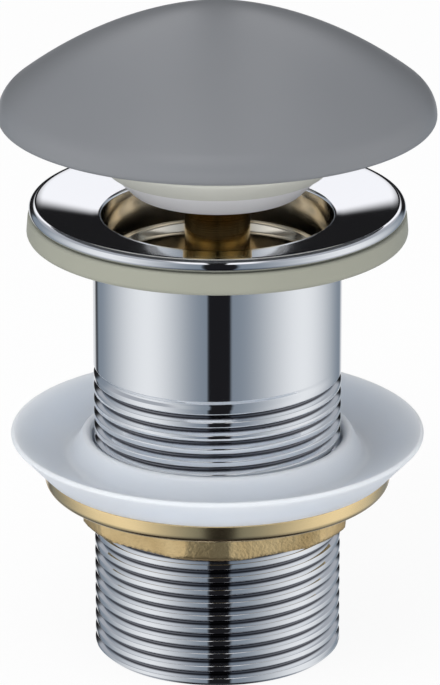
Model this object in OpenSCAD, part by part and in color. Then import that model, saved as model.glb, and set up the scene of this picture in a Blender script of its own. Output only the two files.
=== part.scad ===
// Sprung plug basin waste with a domed cap, a clicking cartridge, a cone washer and a brass back nut.
// Millimetres. It stands on the end of its tail at z = 0, with +Z up along its axis.
// The plug is modelled sprung up, which is the open position.

/* [Tail and thread] */
// Outside diameter of the tail thread, and of the plain shank above it
thread_d = 41.91; // [38:0.01:48]
// Distance from one thread crest to the next
thread_pitch = 2.309; // [1.5:0.001:3]
// Length of the thread, from the end of the tail
thread_len = 50.7; // [45:0.1:58]
// Plain lead at the end of the tail, before the first thread groove
lead_len = 1.6; // [1:0.1:3]
// Chamfer round the end of the tail
tail_chamfer = 0.6; // [0.2:0.1:0.9]
// Bore of the tail, below the spider
tail_bore_d = 35.9; // [32:0.1:36.6]
// Bore between the spider and the ledge, a little wider than the tail's
chamber_d = 36.6; // [34:0.1:37]

/* [Flange] */
// Height of the flange's rim over the end of the tail
body_h = 79.6; // [74:0.1:90]
// Diameter of the flange over its rolled rim
flange_d = 63.2; // [58:0.1:70]
// Thickness of the rolled rim
rim_t = 2.2; // [1.6:0.1:3]
// Depth of the dish, from the rim to the lip of the mouth
dish_drop = 2.1; // [1:0.1:3.5]
// Diameter of the mouth inside its rounded lip
mouth_d = 39; // [38.4:0.1:42]
// Radius of the rounding round the mouth
mouth_round = 0.6; // [0.3:0.1:1]
// Bore at the ledge, where the mouth's taper ends
throat_d = 37.8; // [37.4:0.1:38.4]
// Depth of the ledge below the rim
ledge_drop = 10.6; // [8:0.1:14]
// Height of the sloping ledge
ledge_h = 0.8; // [0.4:0.1:1.5]
// Rounding under the flange, where it meets the shank
neck_round = 0.5; // [0.2:0.1:0.7]

/* [Spider] */
// Depth of the top of the spider's boss below the rim
spider_drop = 25; // [22:0.1:27]
// Diameter of the boss that the cartridge screws into
boss_d = 15; // [13.5:0.1:18]
// Height of the boss
boss_h = 7.6; // [5.5:0.1:10]
// Number of arms
arm_count = 4; // [3:1:5]
// Thickness of an arm
arm_t = 3; // [2:0.1:4]
// Height of an arm
arm_h = 5; // [3:0.1:5.4]

/* [Flange seal] */
// Outside diameter of the rubber seal under the flange
seal_d = 64; // [60:0.1:68]
// Thickness of the seal
seal_t = 3.7; // [2:0.1:6]

/* [Back nut] */
// Height of the nut's lower face over the end of the tail
nut_z = 23.7; // [12:0.1:26]
// Diameter of the nut's round flange
nut_flange_d = 58.8; // [52:0.1:64]
// Thickness of the nut's flange
nut_flange_t = 3.5; // [2:0.1:5]
// Distance across the flats of the nut's six-sided lug
lug_af = 44.4; // [43.6:0.1:46]
// Diameter of the circle that trims the lug's corners
lug_corner_d = 47.6; // [46.5:0.1:50]
// Height of the lug below the flange
lug_h = 5.5; // [3.5:0.1:8]

/* [Cone washer] */
// Diameter over the washer's rim
washer_d = 70.1; // [66:0.1:76]
// Height of the rim over the nut
washer_h = 6.1; // [5:0.1:8]
// Diameter of the washer's flat foot on the nut
washer_foot_d = 60.6; // [56:0.1:63]
// Thickness of the washer's floor under the valley
washer_floor_t = 1.8; // [1.2:0.1:2.4]
// Outside diameter of the raised collar round the shank
collar_d = 46.4; // [45:0.1:48]
// Diameter of the valley between the collar and the wall
valley_d = 51.8; // [50.5:0.1:54]
// Radius of the rounded rim
washer_rim_round = 0.45; // [0.3:0.05:0.55]

/* [Plug travel] */
// Travel of the plug from open to closed
plug_travel = 9; // [7:0.1:10]
// Extra push past the closed position that works the latch
overshoot = 1; // [0.6:0.1:1.4]
// Gap left between the seal's lip and the mouth when closed
lip_gap = 0.15; // [0.05:0.05:0.4]

/* [Plug seal] */
// Outside diameter of the plug seal at its lower edge
lip_low_d = 37.6; // [36:0.1:38]
// Outside diameter of the lip at its top
lip_top_d = 43.4; // [42:0.1:47]
// Flare of the lip, in degrees from upright
lip_flare = 43; // [30:1:50]
// Thickness of the seal's web
web_t = 2.2; // [1.5:0.1:3]
// Thickness of the lip
lip_t = 1; // [0.6:0.1:1.5]

/* [Plug carrier] */
// Diameter of the white carrier at its foot
carrier_foot_d = 29.8; // [24:0.1:33]
// Drop from the seal's lower edge to the carrier's foot
carrier_drop = 3.9; // [3:0.1:5]
// Height of the carrier's rim above the seal's lower edge
carrier_rim_h = 0.9; // [0.5:0.1:1.5]
// Thickness of the carrier's web over the sleeve's shoulder
carrier_web_t = 1.4; // [1:0.1:2]

/* [Cap] */
// Diameter of the domed cap
cap_d = 73.2; // [70:0.1:80]
// Height of the cap's rim above the seal's lower edge
cap_rise = 8.4; // [7:0.1:10]
// Height of the cap, from its rim to its crown
cap_h = 19.2; // [17:0.1:21]
// Radius of the crown in the middle
crown_r = 30; // [20:1:40]
// Slope in degrees where the crown meets the flank
crown_slope = 14; // [10:1:18]
// Radius of the long flank
flank_r = 73; // [65:1:85]
// Rounding of the rim's lower edge
cap_edge_round = 0.8; // [0.4:0.1:1]
// Wall of the cap
cap_wall = 2.2; // [1.6:0.1:3]
// Diameter of the cap's middle boss
cap_boss_d = 19; // [17.4:0.1:22]
// Outside diameter of the ring that backs the plug seal
backing_d = 35; // [32:0.1:36]
// Thickness of the backing ring and of the stiffening ribs
rib_t = 1.8; // [1.2:0.1:2.4]
// Number of stiffening ribs
rib_count = 6; // [4:1:8]

/* [Cap insert] */
// Diameter of the brass insert in the cap's boss
insert_d = 14; // [12.8:0.1:15]
// Height of the insert
insert_h = 9; // [7:0.1:10]

/* [Sleeve] */
// Outside diameter of the brass sleeve
sleeve_d = 11; // [10.7:0.1:12]
// Bore of the sleeve round the track core
sleeve_bore_d = 8.7; // [8.5:0.05:8.9]
// Outside diameter of the sleeve's threaded top
sleeve_thread_d = 10; // [9.6:0.1:10.4]
// Bore of the sleeve round the spring
spring_bore_d = 7.3; // [7.2:0.05:7.6]
// Thickness of the sleeve's closed top
sleeve_top_t = 1.8; // [1.2:0.1:3]

/* [Latch] */
// Diameter of the track core
core_d = 8.4; // [8.1:0.05:8.4]
// Diameter of the post that the core turns on
post_d = 4; // [3.6:0.1:4.2]
// Diameter of the two follower pins
pin_d = 1.4; // [1.2:0.1:1.5]
// Width of the track that the pins run in
track_w = 1.8; // [1.8:0.05:2]
// Depth of the track
track_depth = 1.25; // [1:0.05:1.3]
// Turn of the core in one stroke, in degrees
stroke_turn = 45; // [45:1:45]
// Height from the sleeve's lower end to the pins
pin_rise = 2.8; // [2.2:0.1:3.6]

/* [Cartridge base] */
// Distance across the flats of the hexagon
hex_af = 13; // [12.5:0.1:14]
// Height of the hexagon
hex_h = 4; // [3:0.1:5]
// Diameter of the stud in the spider
stud_d = 8; // [7:0.1:9]
// Length of the stud below the gasket
stud_len = 8.5; // [6:0.1:12]
// Thickness of the gasket under the hexagon
gasket_t = 0.5; // [0.3:0.1:1]
// Outside diameter of the gasket
gasket_d = 13.4; // [12.4:0.1:14.8]

/* [Spring and its keeper] */
// Diameter over the spring's coils
spring_d = 6.8; // [6.4:0.1:6.9]
// Diameter of the spring's wire
wire_d = 0.8; // [0.6:0.05:0.9]
// Number of turns
spring_turns = 8; // [6:1:9]
// Diameter of the keeper washer
keeper_d = 6.8; // [6.2:0.1:6.9]
// Thickness of the keeper washer
keeper_t = 0.6; // [0.4:0.1:1]
// Diameter of the screw that holds the keeper
screw_d = 2.4; // [2:0.1:2.6]
// Length of the screw in the post
screw_len = 6; // [4:0.1:9]
// Diameter of the screw's head
screw_head_d = 4.2; // [3.6:0.1:4.6]
// Height of the screw's head
screw_head_h = 1.5; // [1:0.1:2]

/* [Hidden] */
$fn = 96;

// Clearances
thread_fit = 0.1;
washer_fit = 0.35;
seal_fit = 0.25;
running_fit = 0.05;
pin_fit = 0.02;
slip_fit = 0.1;
end_play = 0.1;
closed_gap = 0.2;
hair = 0.01;

// Colours
chrome = [0.78, 0.8, 0.83];
brass = [0.72, 0.58, 0.33];
steel = [0.62, 0.63, 0.65];
ivory = [0.8, 0.8, 0.74];
white = [0.88, 0.88, 0.9];
milky = [0.76, 0.8, 0.84];
cap_grey = [0.53, 0.54, 0.55];
fibre_red = [0.55, 0.25, 0.2];

// Tail, thread and flange
thread_r = thread_d / 2;
half_flank = 27.5;
thread_depth = 0.640327 * thread_pitch;
thread_flat = (thread_pitch - 2 * thread_depth * tan(half_flank)) / 2;
ridge_count = floor((thread_len - lead_len - thread_flat) / thread_pitch);
rim_r = rim_t / 2;
rim_c = [flange_d / 2 - rim_r, body_h - rim_r];
mouth_c = [mouth_d / 2 + mouth_round, body_h - dish_drop - mouth_round];
flange_under = body_h - rim_t;
ledge_z = body_h - ledge_drop;
inner_chamfer = 0.4;

// Spider
spider_top = body_h - spider_drop;
boss_low = spider_top - boss_h;
arm_low = spider_top - (boss_h + arm_h) / 2;
arm_root = 0.6;
chamber_low = boss_low - 1.5;

// Back nut and cone washer
nut_top = nut_z + lug_h + nut_flange_t;
nut_edge_round = 0.9;
nut_top_bevel = 0.5;
lug_chamfer = 0.8;
lug_skew = -4;
rim_top = nut_top + washer_h;
collar_dip = 0.35;
valley_round = 1.6;
foot_chamfer = 0.4;

// Plug seal: its lip is lip_gap clear of the rounded mouth when the plug is down
lip_reach = mouth_c * [cos(lip_flare), -sin(lip_flare)] - mouth_round - lip_gap;
lip_low_z = (lip_low_d / 2 * cos(lip_flare) - lip_reach) / sin(lip_flare) + plug_travel;
lip_top_z = lip_low_z + (lip_top_d - lip_low_d) / 2 / tan(lip_flare);
carrier_foot_z = lip_low_z - carrier_drop;
web_low_z = lip_low_z + carrier_rim_h;
clamp_z = web_low_z + web_t;
shoulder_z = web_low_z - carrier_web_t;
lip_toe = 0.8;
lip_bevel = 0.15;
carrier_step = 0.25;
carrier_rim_r = lip_low_d / 2 - lip_toe;
web_bore_d = sleeve_thread_d + 2;

// Cap
cap_low_z = lip_low_z + cap_rise;
cap_top_z = cap_low_z + cap_h;
crown_c = [0, cap_top_z - crown_r];
flank_c = crown_c + (crown_r - flank_r) * [sin(crown_slope), cos(crown_slope)];
rim_centre_z = cap_low_z + cap_edge_round;
insert_relief = 1;
rib_lift = 1;
// The shoulder is the arc that leaves the flank smoothly and meets the rim upright
drop_to_rim = flank_c.y - rim_centre_z;
reach_to_rim = cap_d / 2 - flank_c.x;
shoulder_r = (flank_r * flank_r - reach_to_rim * reach_to_rim - drop_to_rim * drop_to_rim)
    / (2 * (flank_r - reach_to_rim));
shoulder_c = [cap_d / 2 - shoulder_r, rim_centre_z];
flank_slope = atan2(shoulder_c.x - flank_c.x, shoulder_c.y - flank_c.y);

// Latch and cartridge
stroke = plug_travel + overshoot;
hex_low = spider_top + gasket_t;
hex_top = hex_low + hex_h;
core_low = hex_top + end_play;
sleeve_low = hex_top + stroke + closed_gap;
pin_z = sleeve_low + pin_rise;
core_margin = 2.2;
core_top = pin_z + core_margin;
post_top = core_top + end_play;
keeper_top = post_top + keeper_t;
bore_step_z = post_top + stroke + closed_gap;
insert_top = clamp_z + insert_h;
sleeve_top = insert_top - end_play;
roof_z = sleeve_top - sleeve_top_t;
core_r = core_d / 2;
track_r = core_r - track_depth;
track_step = 0.7;
track_count = 2;
cut_reach = track_depth + 1;
lock_back = overshoot;
spring_r = (spring_d - wire_d) / 2;
spring_len = roof_z - keeper_top;

// Points along an arc about c, from angle a to angle b, in n steps
function arc(c, r, a, b, n = 12) = [for (i = [0:n]) c + r * [cos(a + (b - a) * i / n), sin(a + (b - a) * i / n)]];

// Direction of the line from circle p, radius a, to circle q, radius b, with both on its left.
// A radius below zero puts that circle on the right. The outward normal is 90 degrees less.
function lie(p, a, q, b) = (360 + atan2(q.y - p.y, q.x - p.x) + asin((a - b) / norm(q - p))) % 360;

function reversed(list) = [for (i = [len(list) - 1:-1:0]) list[i]];

// Outline of the dome from its axis to its rim, inset by w
function dome(w) = concat(
    arc(crown_c, crown_r - w, 90, 90 - crown_slope, 6),
    arc(flank_c, flank_r - w, 90 - crown_slope, 90 - flank_slope, 10),
    arc(shoulder_c, shoulder_r - w, 90 - flank_slope, 0, 10)
);

// One thread ridge above height z, as the outline of the tail
function ridge(z) = [
    [thread_r - thread_depth, z + thread_flat],
    [thread_r, z + thread_flat + thread_depth * tan(half_flank)],
    [thread_r, z + 2 * thread_flat + thread_depth * tan(half_flank)],
    [thread_r - thread_depth, z + thread_pitch]
];

module ring(outline) {
    rotate_extrude() polygon(outline);
}

module tube(r_out, r_in, z_low, z_high) {
    difference() {
        translate([0, 0, z_low]) cylinder(r = r_out, h = z_high - z_low);
        translate([0, 0, z_low - 1]) cylinder(r = r_in, h = z_high - z_low + 2);
    }
}

// Chromed body in one piece: tail, thread, shank, dished flange and spider
module waste_body() {
    dish = lie(rim_c, rim_r, mouth_c, mouth_round) - 90;
    flank_h = thread_depth * tan(half_flank);
    last_root = lead_len + ridge_count * thread_pitch;
    outline = concat(
        [[tail_bore_d / 2 + inner_chamfer, 0], [thread_r - tail_chamfer, 0], [thread_r, tail_chamfer]],
        [[thread_r, lead_len - flank_h], [thread_r - thread_depth, lead_len]],
        [for (i = [0:ridge_count - 1], q = ridge(lead_len + i * thread_pitch)) q],
        [[thread_r - thread_depth, last_root + thread_flat], [thread_r, last_root + thread_flat + flank_h]],
        arc([thread_r + neck_round, flange_under - neck_round], neck_round, 180, 90, 4),
        arc(rim_c, rim_r, -90, dish, 18),
        arc(mouth_c, mouth_round, dish, 180, 8),
        [[throat_d / 2, ledge_z], [chamber_d / 2, ledge_z - ledge_h]],
        [[chamber_d / 2, chamber_low], [tail_bore_d / 2, chamber_low]],
        [[tail_bore_d / 2, inner_chamfer]]
    );
    color(chrome) difference() {
        union() {
            ring(outline);
            translate([0, 0, boss_low]) cylinder(d = boss_d, h = boss_h);
            for (i = [0:arm_count - 1]) rotate([0, 0, 360 / arm_count * i]) spider_arm();
        }
        translate([0, 0, boss_low - 1]) cylinder(r = stud_d / 2 + thread_fit, h = boss_h + 2);
    }
}

module spider_arm() {
    inner = (stud_d + boss_d) / 4;
    outer = chamber_d / 2 + arm_root;
    translate([inner, -arm_t / 2, arm_low]) cube([outer - inner, arm_t, arm_h]);
}

// Ivory rubber seal between the flange and the basin
module flange_seal() {
    low_round = 0.9;
    top_round = 0.45;
    draft = 0.2;
    r = seal_d / 2;
    bore_r = thread_r + seal_fit;
    low = flange_under - seal_t;
    color(ivory) ring(concat(
        [[bore_r + neck_round, flange_under], [bore_r, flange_under - neck_round], [bore_r, low]],
        arc([r - low_round, low + low_round], low_round, -90, 0, 6),
        arc([r - draft - top_round, flange_under - top_round], top_round, 0, 90, 4)
    ));
}

// Brass back nut: a round flange over a cast lug with six flats and trimmed corners
module back_nut() {
    flange_low = nut_z + lug_h;
    r = nut_flange_d / 2;
    lug_r = lug_corner_d / 2;
    lug_top = flange_low + nut_flange_t / 2;
    color(brass) difference() {
        union() {
            ring(concat(
                [[0, flange_low]],
                arc([r - nut_edge_round, flange_low + nut_edge_round], nut_edge_round, -90, 0, 8),
                [[r, nut_top - nut_top_bevel], [r - nut_top_bevel, nut_top], [0, nut_top]]
            ));
            intersection() {
                translate([0, 0, nut_z]) rotate([0, 0, 30 + lug_skew])
                    cylinder(r = lug_af / 2 / cos(30), h = lug_top - nut_z, $fn = 6);
                ring([
                    [0, nut_z], [lug_r - lug_chamfer, nut_z], [lug_r, nut_z + lug_chamfer], [lug_r, lug_top],
                    [0, lug_top]
                ]);
            }
        }
        translate([0, 0, nut_z - 1]) cylinder(r = thread_r + thread_fit, h = nut_top - nut_z + 2);
    }
}

// Milky plastic washer: a shallow dish with a raised collar, which spreads the nut's load
module cone_washer() {
    bore_r = thread_r + washer_fit;
    crest_r = (collar_d / 2 - bore_r) / 2;
    rim = [washer_d / 2 - washer_rim_round, rim_top - washer_rim_round];
    foot = [washer_foot_d / 2, nut_top + foot_chamfer];
    valley = [valley_d / 2, nut_top + washer_floor_t + valley_round];
    collar = [bore_r + crest_r, rim_top - collar_dip - crest_r];
    wall_out = lie(foot, 0, rim, washer_rim_round);
    wall_in = lie(rim, washer_rim_round, valley, -valley_round);
    collar_side = lie(valley, -valley_round, collar, crest_r);
    color(milky) ring(concat(
        [[bore_r, nut_top], foot - [foot_chamfer, foot_chamfer], foot],
        arc(rim, washer_rim_round, wall_out - 90, wall_in - 90, 8),
        arc(valley, valley_round, wall_in + 90, collar_side + 90, 8),
        arc(collar, crest_r, collar_side - 90, 180, 10)
    ));
}

// Matt grey domed cap: one shell with a boss, a ring that backs the seal, and ribs between them
module dome_cap() {
    rim_in = cap_d / 2 - cap_wall;
    mid = cap_wall / 2;
    color(cap_grey) difference() {
        union() {
            ring(concat(
                dome(0),
                arc([cap_d / 2 - cap_edge_round, rim_centre_z], cap_edge_round, 0, -90, 6),
                [[rim_in, cap_low_z]],
                reversed(dome(cap_wall))
            ));
            intersection() {
                ring(concat(dome(mid), [[cap_d / 2 - mid, clamp_z], [0, clamp_z]]));
                union() {
                    translate([0, 0, clamp_z]) cylinder(d = cap_boss_d, h = cap_top_z - clamp_z);
                    tube(backing_d / 2, backing_d / 2 - rib_t, clamp_z, cap_top_z);
                    for (i = [0:rib_count - 1]) rotate([0, 0, 360 / rib_count * i]) cap_rib();
                }
            }
        }
        translate([0, 0, clamp_z - 1]) cylinder(r = insert_d / 2 + pin_fit, h = 1 + insert_h + insert_relief);
    }
}

module cap_rib() {
    inner = (insert_d + cap_boss_d) / 4;
    outer = (backing_d - rib_t) / 2;
    low = clamp_z + rib_lift;
    translate([inner, -rib_t / 2, low]) cube([outer - inner, rib_t, cap_top_z - low]);
}

// Brass threaded insert in the cap's boss
module cap_insert() {
    color(brass) tube(insert_d / 2, sleeve_thread_d / 2 + thread_fit, clamp_z, insert_top);
}

// Ivory plug seal: a flat web with a flared lip
module plug_seal() {
    low = lip_low_d / 2;
    top = lip_top_d / 2;
    across = [cos(lip_flare), -sin(lip_flare)];
    lip_end = [top, lip_top_z] - across * lip_t / 2;
    inner_top = [top, lip_top_z] - across * lip_t;
    color(ivory) ring(concat(
        [[web_bore_d / 2, web_low_z], [carrier_rim_r + hair, web_low_z], [carrier_rim_r + hair, lip_low_z]],
        [[low - lip_bevel, lip_low_z], [low, lip_low_z + lip_bevel]],
        arc(lip_end, lip_t / 2, -lip_flare, 180 - lip_flare, 6),
        [[inner_top.x - (inner_top.y - clamp_z) * tan(lip_flare), clamp_z], [web_bore_d / 2, clamp_z]]
    ));
}

// White plastic carrier that holds the plug seal up against the cap
module plug_carrier() {
    edge = 0.9;
    foot = [carrier_foot_d / 2 - edge, carrier_foot_z + edge];
    rim = [carrier_rim_r, lip_low_z - carrier_step];
    color(white) ring(concat(
        [[sleeve_d / 2 + running_fit, carrier_foot_z]],
        arc(foot, edge, -90, lie(foot, edge, rim, 0) - 90, 5),
        [rim, [carrier_rim_r, web_low_z]],
        [[sleeve_thread_d / 2 + thread_fit, web_low_z], [sleeve_thread_d / 2 + thread_fit, shoulder_z]],
        [[sleeve_d / 2 + running_fit, shoulder_z]]
    ));
}

// Brass sleeve that slides over the latch and carries the plug
module plunger_sleeve() {
    edge = 0.4;
    color(brass) difference() {
        ring([
            [0, sleeve_low], [sleeve_d / 2 - edge, sleeve_low], [sleeve_d / 2, sleeve_low + edge],
            [sleeve_d / 2, shoulder_z], [sleeve_thread_d / 2, shoulder_z],
            [sleeve_thread_d / 2, sleeve_top - edge], [sleeve_thread_d / 2 - edge, sleeve_top], [0, sleeve_top]
        ]);
        translate([0, 0, sleeve_low - 1]) cylinder(d = sleeve_bore_d, h = bore_step_z - sleeve_low + 1);
        translate([0, 0, sleeve_low]) cylinder(d = spring_bore_d, h = roof_z - sleeve_low);
        translate([-sleeve_d, 0, pin_z]) rotate([0, 90, 0]) cylinder(r = pin_d / 2 + pin_fit, h = 2 * sleeve_d);
    }
}

// Two steel pins, pressed through the sleeve's wall, that follow the track
module follower_pins() {
    tip = track_r + 0.15;
    outer = sleeve_d / 2 - 0.1;
    color(steel) for (a = [0, 180]) rotate([0, 0, a]) {
        translate([tip, 0, pin_z]) rotate([0, 90, 0]) cylinder(d = pin_d, h = outer - tip);
    }
}

// Corners of one latch track: down the stroke, back up to the notch, down again and home
function track_corners(a) = [
    [a, 0], [a + stroke_turn, -stroke], [a + 2 * stroke_turn, lock_back - stroke],
    [a + 3 * stroke_turn, -stroke], [a + 4 * stroke_turn, 0]
];

// Places of the cutter along a straight run of the track, as angle and height
function track_run(p, q) = let(
    length = norm([(q.x - p.x) * PI / 180 * core_r, q.y - p.y]),
    n = ceil(length / track_step)
) [for (i = [0:n - 1]) p + (q - p) * i / n];

// Acetal core that turns on the post, with a closed track for each pin
module track_core() {
    color(white) difference() {
        tube(core_r, post_d / 2 + running_fit, core_low, core_top);
        for (k = [0:track_count - 1], i = [0:3]) {
            corners = track_corners(360 / track_count * k);
            for (q = track_run(corners[i], corners[i + 1])) track_cut(q);
        }
    }
}

module track_cut(q) {
    translate([0, 0, pin_z + q.y]) rotate([0, 90, q.x]) translate([0, 0, track_r]) cylinder(d = track_w, h = cut_reach);
}

// Brass base of the cartridge: stud, hexagon and the post for the core
module cartridge_base() {
    edge = 0.5;
    color(brass) difference() {
        union() {
            ring([
                [0, hex_low - gasket_t - stud_len], [stud_d / 2 - edge, hex_low - gasket_t - stud_len],
                [stud_d / 2, hex_low - gasket_t - stud_len + edge], [stud_d / 2, hex_low + 1], [0, hex_low + 1]
            ]);
            translate([0, 0, hex_low]) cylinder(r = hex_af / 2 / cos(30), h = hex_h, $fn = 6);
            translate([0, 0, hex_low + 1]) cylinder(d = post_d, h = post_top - hex_low - 1);
        }
        translate([0, 0, post_top - screw_len - 0.5]) cylinder(r = screw_d / 2 + pin_fit, h = screw_len + 1);
    }
}

// Fibre gasket between the hexagon and the spider
module base_gasket() {
    color(fibre_red) tube(gasket_d / 2, stud_d / 2 + slip_fit, spider_top, hex_low);
}

// Steel washer that keeps the core on its post and seats the spring
module keeper_washer() {
    color(steel) tube(keeper_d / 2, screw_d / 2 + slip_fit, post_top, keeper_top);
}

// Pan-head screw through the keeper washer
module keeper_screw() {
    slot_w = 0.6;
    slot_h = 0.7;
    color(steel) difference() {
        union() {
            translate([0, 0, post_top - screw_len]) cylinder(d = screw_d, h = screw_len + keeper_t + screw_head_h / 2);
            translate([0, 0, keeper_top]) cylinder(d = screw_head_d, h = screw_head_h * 0.6);
            translate([0, 0, keeper_top + screw_head_h * 0.6])
                cylinder(d1 = screw_head_d, d2 = screw_head_d * 0.7, h = screw_head_h * 0.4);
        }
        for (a = [0, 90]) rotate([0, 0, a])
            translate([-screw_head_d * 0.3, -slot_w / 2, keeper_top + screw_head_h - slot_h])
                cube([screw_head_d * 0.6, slot_w, 1]);
    }
}

// Height of the wire's centre after t turns: one close turn at each end, and even pitch between
function wire_z(t) = let(open = spring_len - 3 * wire_d)
    keeper_top + wire_d / 2 + wire_d * min(t, 1) + open * min(max(t - 1, 0), spring_turns - 2) / (spring_turns - 2)
    + wire_d * max(t - spring_turns + 1, 0);

// Steel coil spring, swept as one closed tube
module plunger_spring() {
    sides = 8;
    per_turn = 20;
    rings = spring_turns * per_turn;
    points = [for (i = [0:rings], j = [0:sides - 1]) let(
        turn = i / per_turn,
        a = 360 * turn,
        b = 360 / sides * j,
        r = spring_r + wire_d / 2 * cos(b)
    ) [r * cos(a), r * sin(a), wire_z(turn) + wire_d / 2 * sin(b)]];
    walls = [for (i = [0:rings - 1], j = [0:sides - 1]) [
        i * sides + j, i * sides + (j + 1) % sides, (i + 1) * sides + (j + 1) % sides, (i + 1) * sides + j
    ]];
    ends = [[for (j = [sides - 1:-1:0]) j], [for (j = [0:sides - 1]) rings * sides + j]];
    color(steel) polyhedron(points = points, faces = concat(walls, ends));
}

waste_body();
flange_seal();
back_nut();
cone_washer();
dome_cap();
cap_insert();
plug_seal();
plug_carrier();
plunger_sleeve();
follower_pins();
track_core();
cartridge_base();
base_gasket();
keeper_washer();
keeper_screw();
plunger_spring();
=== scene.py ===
"""Looks of a sprung plug basin waste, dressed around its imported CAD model.

The CAD nodes of the latch keep their shape and get finishes. The pieces that the eye meets first, such as
the domed cap, the dished flange with its screw-cut tail, the seals, the washer and the nut, are modelled
again with finer curves, in the same frame and from the same sizes.
"""

import logging
import math
from dataclasses import dataclass
from enum import Enum

import bpy
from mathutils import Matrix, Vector


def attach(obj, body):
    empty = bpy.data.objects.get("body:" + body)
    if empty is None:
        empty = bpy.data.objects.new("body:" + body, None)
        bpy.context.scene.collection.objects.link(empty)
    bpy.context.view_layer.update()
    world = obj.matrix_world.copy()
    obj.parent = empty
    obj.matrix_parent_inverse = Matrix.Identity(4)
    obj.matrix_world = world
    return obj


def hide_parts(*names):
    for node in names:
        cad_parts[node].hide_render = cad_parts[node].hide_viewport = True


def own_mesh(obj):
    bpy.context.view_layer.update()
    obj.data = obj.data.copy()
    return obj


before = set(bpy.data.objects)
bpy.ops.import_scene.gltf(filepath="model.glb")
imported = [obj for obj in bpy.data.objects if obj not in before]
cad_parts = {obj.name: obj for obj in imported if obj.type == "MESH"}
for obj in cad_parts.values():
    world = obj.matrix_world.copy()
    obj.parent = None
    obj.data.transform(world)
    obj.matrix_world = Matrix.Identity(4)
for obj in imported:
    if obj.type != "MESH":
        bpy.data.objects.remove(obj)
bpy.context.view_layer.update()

LOG = logging.getLogger("basin_waste")
MM = 0.001
FULL_TURN = 2 * math.pi
WELD = 2e-6

Point = tuple[float, float]
Band = tuple[float, float]
Colour = tuple[float, float, float]


class Body(Enum):
    """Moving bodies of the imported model."""

    WASTE = "waste"
    PLUG = "plug"
    LATCH = "latch"
    WASHER = "washer"
    NUT = "nut"


class Slot(Enum):
    """Material slots of the record."""

    CHROME = "polished_chrome"
    RUBBER = "ivory_rubber"
    MILKY = "milky_plastic"
    BRASS = "raw_brass"
    CAP = "cap_grey"
    WHITE = "white_plastic"
    STEEL = "stainless_steel"
    FIBRE = "red_fibre"


def arc(centre: Point, radius: float, start: float, end: float, steps: int) -> list[Point]:
    """Points along an arc in the radius and height plane.

    Args:
        centre: Centre of the arc, as radius and height in millimetres.
        radius: Radius of the arc.
        start: Angle of the first point, in degrees from outwards.
        end: Angle of the last point.
        steps: Number of chords.

    Returns:
        The points, both ends among them.
    """
    angles = [math.radians(start + (end - start) * i / steps) for i in range(steps + 1)]
    return [(centre[0] + radius * math.cos(a), centre[1] + radius * math.sin(a)) for a in angles]


def lie(p: Point, a: float, q: Point, b: float) -> float:
    """Direction of the straight line that touches two circles.

    Args:
        p: Centre of the first circle.
        a: Its radius, below zero where the circle is on the line's right.
        q: Centre of the second circle.
        b: Its radius, by the same rule.

    Returns:
        The direction of travel in degrees, from 0 to 360. The outward normal is 90 degrees less.
    """
    distance = math.hypot(q[0] - p[0], q[1] - p[1])
    along = math.atan2(q[1] - p[1], q[0] - p[0])
    return math.degrees(along + math.asin((a - b) / distance)) % 360


def divided(outline: list[Point], longest: float) -> list[Point]:
    """Splits the long straight runs of an outline, so that smooth shading stays true beside a rounding.

    Args:
        outline: Points in millimetres.
        longest: Longest chord to leave.

    Returns:
        The same outline with points added along its long chords.
    """
    points = [outline[0]]
    for (r0, z0), (r1, z1) in zip(outline, outline[1:]):
        count = max(1, math.ceil(math.hypot(r1 - r0, z1 - z0) / longest))
        points += [(r0 + (r1 - r0) * i / count, z0 + (z1 - z0) * i / count) for i in range(1, count + 1)]
    return points


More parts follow.
